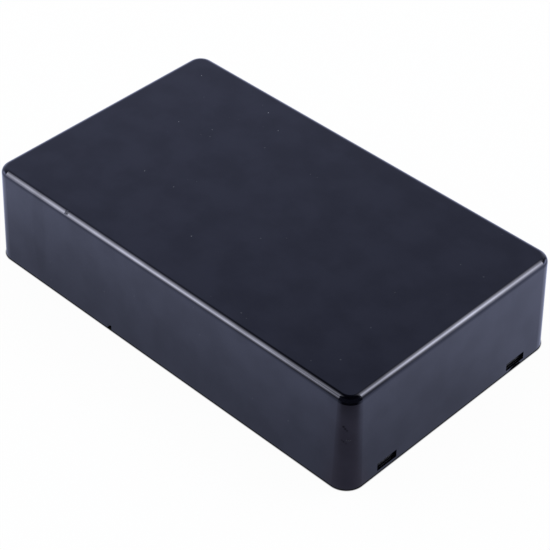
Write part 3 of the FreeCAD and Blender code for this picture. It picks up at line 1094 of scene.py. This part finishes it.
@dataclass(frozen=True)
class DimRoom:
    """The room that the gloss mirrors: dim walls, a pale skirting low down, and bright panes.

    Lengths are metres and angles degrees. Ranges that are neither are read on the unit direction
    from the box.
    """

    radius: float = 1.4
    segments: int = 64
    rings: int = 32
    below_floor: float = 0.01
    wall_colour: Colour = (0.645, 0.69, 1.0, 1.0)
    wall_glow: Range = (0.71, 0.98)
    trend_azimuth: float = -46.4
    trend: Range = (-0.181, 0.881)
    back_azimuth: float = -129.0
    back_reach: Range = (0.442, 1.366)
    front_share: float = 0.09
    ceiling: Range = (47.0, 62.0)
    ceiling_share: float = 0.1
    skirting_glow: float = 3.38
    skirting_height: float = 30.6
    skirting_side: Range = (-0.272, 0.363)
    skirting_lobes: tuple[Range, ...] = ((-34.0, 1.0), (127.0, 1.0), (-137.0, 0.3))
    lobe_edge: Range = (0.68, 0.86)
    pane_colour: Colour = (0.92, 0.91, 1.0, 1.0)
    pane_left_end: Range = (-0.675, -0.635)
    pane_far_end: Range = (0.6, 0.68)
    pane_far_share: float = 0.4
    panes: tuple[Pane, ...] = (
        Pane(
            azimuth=-55.0, elevation=37.0, tilt=21.0, half_width=13.0, side_fade=5.0,
            half_height=11.0, low_fade=13.0, high_fade=30.0, strength=11.0,
        ),
        Pane(
            azimuth=-38.0, elevation=24.0, tilt=-5.0, half_width=5.0, side_fade=12.0,
            half_height=13.0, low_fade=18.0, high_fade=6.0, strength=10.0,
        ),
        Pane(
            azimuth=153.0, elevation=47.0, tilt=-58.0, half_width=6.0, side_fade=8.0,
            half_height=20.0, low_fade=20.0, high_fade=18.0, strength=6.5,
        ),
        Pane(
            azimuth=139.0, elevation=35.0, tilt=-21.0, half_width=4.0, side_fade=5.0,
            half_height=17.0, low_fade=19.0, high_fade=14.0, strength=9.5,
        ),
        Pane(
            azimuth=189.0, elevation=6.0, tilt=3.0, half_width=12.0, side_fade=3.0,
            half_height=31.0, low_fade=2.0, high_fade=6.0, strength=0.85,
        ),
    )

    def build(self) -> None:
        """Stand the room round the table and dress it."""
        bpy.ops.mesh.primitive_uv_sphere_add(
            segments=self.segments, ring_count=self.rings, radius=self.radius
        )
        sheet, place = stand_card("room_surround")
        bpy.ops.object.mode_set(mode="EDIT")
        bpy.ops.mesh.select_all(action="SELECT")
        bpy.ops.mesh.bisect(
            plane_co=(0.0, 0.0, -self.below_floor), plane_no=(0.0, 0.0, 1.0), clear_inner=True
        )
        bpy.ops.object.mode_set(mode="OBJECT")
        aim = sheet.vector(VectorOp.NORMALISE, place)
        dim = sheet.sum(Op.ADD, self.draw_walls(sheet, aim), self.draw_skirting(sheet, aim))
        walls = sheet.add("ShaderNodeEmission", {0: self.wall_colour, 1: dim})
        panes = sheet.add("ShaderNodeEmission", {0: self.pane_colour, 1: self.draw_panes(sheet, aim)})
        light = sheet.add("ShaderNodeAddShader", {0: walls.outputs[0], 1: panes.outputs[0]})
        sheet.add("ShaderNodeOutputMaterial", {0: light.outputs[0]})

    def draw_walls(self, sheet: NodeSheet, aim: Value) -> bpy.types.NodeSocket:
        """Light the walls behind the box, and leave the camera's side and the ceiling dark.

        Args:
            sheet: The room's sheet.
            aim: Unit direction from the box.

        Returns:
            The walls' brightness.
        """
        _, _, up = sheet.axes(aim)
        trend = sheet.vector(VectorOp.DOT, aim, towards(self.trend_azimuth))
        away = sheet.vector(VectorOp.DISTANCE, aim, towards(self.back_azimuth))
        low, high = (sine(angle) for angle in self.ceiling)
        glow = sheet.step(trend, *self.trend, self.wall_glow)
        glow = sheet.sum(Op.MULTIPLY, glow, sheet.step(away, *self.back_reach, (1.0, self.front_share)))
        return sheet.sum(Op.MULTIPLY, glow, sheet.step(up, low, high, (1.0, self.ceiling_share)))

    def draw_skirting(self, sheet: NodeSheet, aim: Value) -> bpy.types.NodeSocket:
        """Light the foot of the walls in lobes, away from the camera's side.

        Args:
            sheet: The room's sheet.
            aim: Unit direction from the box.

        Returns:
            The skirting's brightness.
        """
        _, _, up = sheet.axes(aim)
        glow = sheet.step(up, 0.0, sine(self.skirting_height), (self.skirting_glow, 0.0))
        beside = sheet.vector(VectorOp.DOT, aim, towards(CORNER_AZIMUTH))
        glow = sheet.sum(Op.MULTIPLY, glow, sheet.step(beside, *self.skirting_side, (1.0, 0.0)))
        lobes = 0.0
        for azimuth, share in self.skirting_lobes:
            facing = sheet.vector(VectorOp.DOT, aim, towards(azimuth))
            lobes = sheet.sum(Op.LARGER, lobes, sheet.step(facing, *self.lobe_edge, (0.0, share)))
        return sheet.sum(Op.MULTIPLY, glow, lobes)

    def draw_panes(self, sheet: NodeSheet, aim: Value) -> bpy.types.NodeSocket:
        """Add up the panes, cut where the edge highlights end in the photograph.

        Args:
            sheet: The room's sheet.
            aim: Unit direction from the box.

        Returns:
            The panes' brightness.
        """
        bright = 0.0
        for pane in self.panes:
            bright = sheet.sum(Op.ADD, bright, pane.glow(sheet, aim))
        along, across, _ = sheet.axes(aim)
        bright = sheet.sum(Op.MULTIPLY, bright, sheet.step(along, *self.pane_left_end))
        far = sheet.step(across, *self.pane_far_end, (1.0, self.pane_far_share))
        return sheet.sum(Op.MULTIPLY, bright, far)


@dataclass(frozen=True)
class TableCard:
    """The table top that the walls mirror: dim under the box and at its foot with a painted shadow of the
    box, bright further out, with a dark fan.

    The fan is painted shade and opens from the near corner towards the camera. Lengths are metres, angles
    degrees.
    """

    radius: float = 1.2
    vertices: int = 96
    lift: float = 0.0002
    colour: Colour = (0.655, 0.705, 1.0, 1.0)
    painted_shadow_glow: float = 0.53
    near_glow: float = 1.04
    far_glow: float = 1.1
    near_reach: Range = (0.0, 0.0257)
    far_reach: Range = (0.0205, 0.0389)
    right_foot: Range = (0.002, 0.027)
    right_foot_gain: float = 0.25
    left_foot: Range = (-0.06, -0.03)
    left_foot_gain: float = 0.13
    behind_share: float = 1.15
    fan_colour: Colour = (0.767, 0.733, 1.0, 1.0)
    fan_edge: Range = (91.7, 34.4)
    fan_reach: Range = (0.0214, 0.0373)
    fan_glow: Range = (0.477, 0.018)

    def build(self, footprint: Footprint) -> None:
        """Lay the card and dress it.

        Args:
            footprint: The patch that the box covers.
        """
        bpy.ops.mesh.primitive_circle_add(
            vertices=self.vertices, radius=self.radius, fill_type="NGON", location=(0.0, 0.0, self.lift)
        )
        sheet, place = stand_card("table_card")
        out = sheet.vector(VectorOp.SUBTRACT, place, footprint.near_corner())
        reach = sheet.vector(VectorOp.LENGTH, out)
        aim = sheet.vector(VectorOp.NORMALISE, out)
        ahead = sheet.vector(VectorOp.DOT, aim, towards(CORNER_AZIMUTH))
        bright = {0: self.colour, 1: self.draw_top(sheet, place, footprint, ahead)}
        dark = {0: self.fan_colour, 1: sheet.step(reach, *self.fan_reach, self.fan_glow)}
        # Painted shade: the dark fan on the camera's side.
        fan = sheet.step(ahead, *(cosine(angle) for angle in self.fan_edge))
        parts = {
            0: fan,
            1: sheet.add("ShaderNodeEmission", bright).outputs[0],
            2: sheet.add("ShaderNodeEmission", dark).outputs[0],
        }
        both = sheet.add("ShaderNodeMixShader", parts)
        sheet.add("ShaderNodeOutputMaterial", {0: both.outputs[0]})

    def draw_top(
        self, sheet: NodeSheet, place: Value, footprint: Footprint, ahead: Value
    ) -> bpy.types.NodeSocket:
        """Brighten the table with the distance from the box, out of the box's painted shadow.

        Args:
            sheet: The card's sheet.
            place: The place on the card.
            footprint: The patch that the box covers.
            ahead: How far the place is on the camera's side of the near corner, from -1 to 1.

        Returns:
            The brightness outside the fan.
        """
        clear = footprint.clearance(sheet, place)
        along, across, _ = sheet.axes(place)
        # Painted light: the foot is brighter towards the back and past the left end, where the lamps' shadows
        # end.
        right = sheet.step(across, *self.right_foot, (self.painted_shadow_glow, self.painted_shadow_glow + self.right_foot_gain))
        left = sheet.step(along, *self.left_foot, (self.left_foot_gain, 0.0))
        foot = sheet.sum(Op.ADD, right, left)
        glow = sheet.step(clear, *self.near_reach, (foot, self.near_glow))
        glow = sheet.sum(Op.MULTIPLY, glow, sheet.step(ahead, -1.0, 0.0, (self.behind_share, 1.0)))
        return sheet.step(clear, *self.far_reach, (glow, self.far_glow))


@dataclass
class Studio:
    """The surroundings: background, pale floor, two soft lamps, and the cards that only gloss sees."""

    footprint: Footprint = Footprint()
    room: RoomLight = RoomLight()
    floor: PaleFloor = PaleFloor()
    walls: DimRoom = DimRoom()
    table: TableCard = TableCard()
    lamps: tuple[SoftLamp, ...] = (
        SoftLamp("soft_lamp_left", azimuth=-75.0, elevation=45.0, side=1.1, radiance=1.0),
        SoftLamp("soft_lamp_right", azimuth=150.0, elevation=50.0, side=0.4, radiance=4.6),
    )

    def build(self) -> None:
        """Build the surroundings and set the plain view transform."""
        bpy.ops.object.select_all(action="DESELECT")
        self.room.build()
        self.floor.build(self.footprint, self.room)
        self.walls.build()
        self.table.build(self.footprint)
        for lamp in self.lamps:
            lamp.build()
        bpy.context.scene.view_settings.view_transform = "Standard"


def main() -> None:
    """Build the scene: effects, dressed mouldings, camera and studio."""
    logging.basicConfig(level=logging.INFO, format="%(name)s: %(message)s")
    effects = Effects(MouldedSkin(), Handling(), BoxFaces(), Knock())
    for moulding in (CoverShell(), BasePlate()):
        moulding.dress(effects)
        low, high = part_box(moulding.node)
        size = TO_MILLIMETRES * (high - low)
        log.info("%s: %s, %.1f x %.1f x %.1f mm", moulding.node, moulding.finish.name, *size)
    log.info("camera: %s", PhotoCamera().build().name)
    Studio().build()
    log.info("studio: background, pale floor, dim room, table card, two soft lamps")


if __name__ == "__main__":
    main()
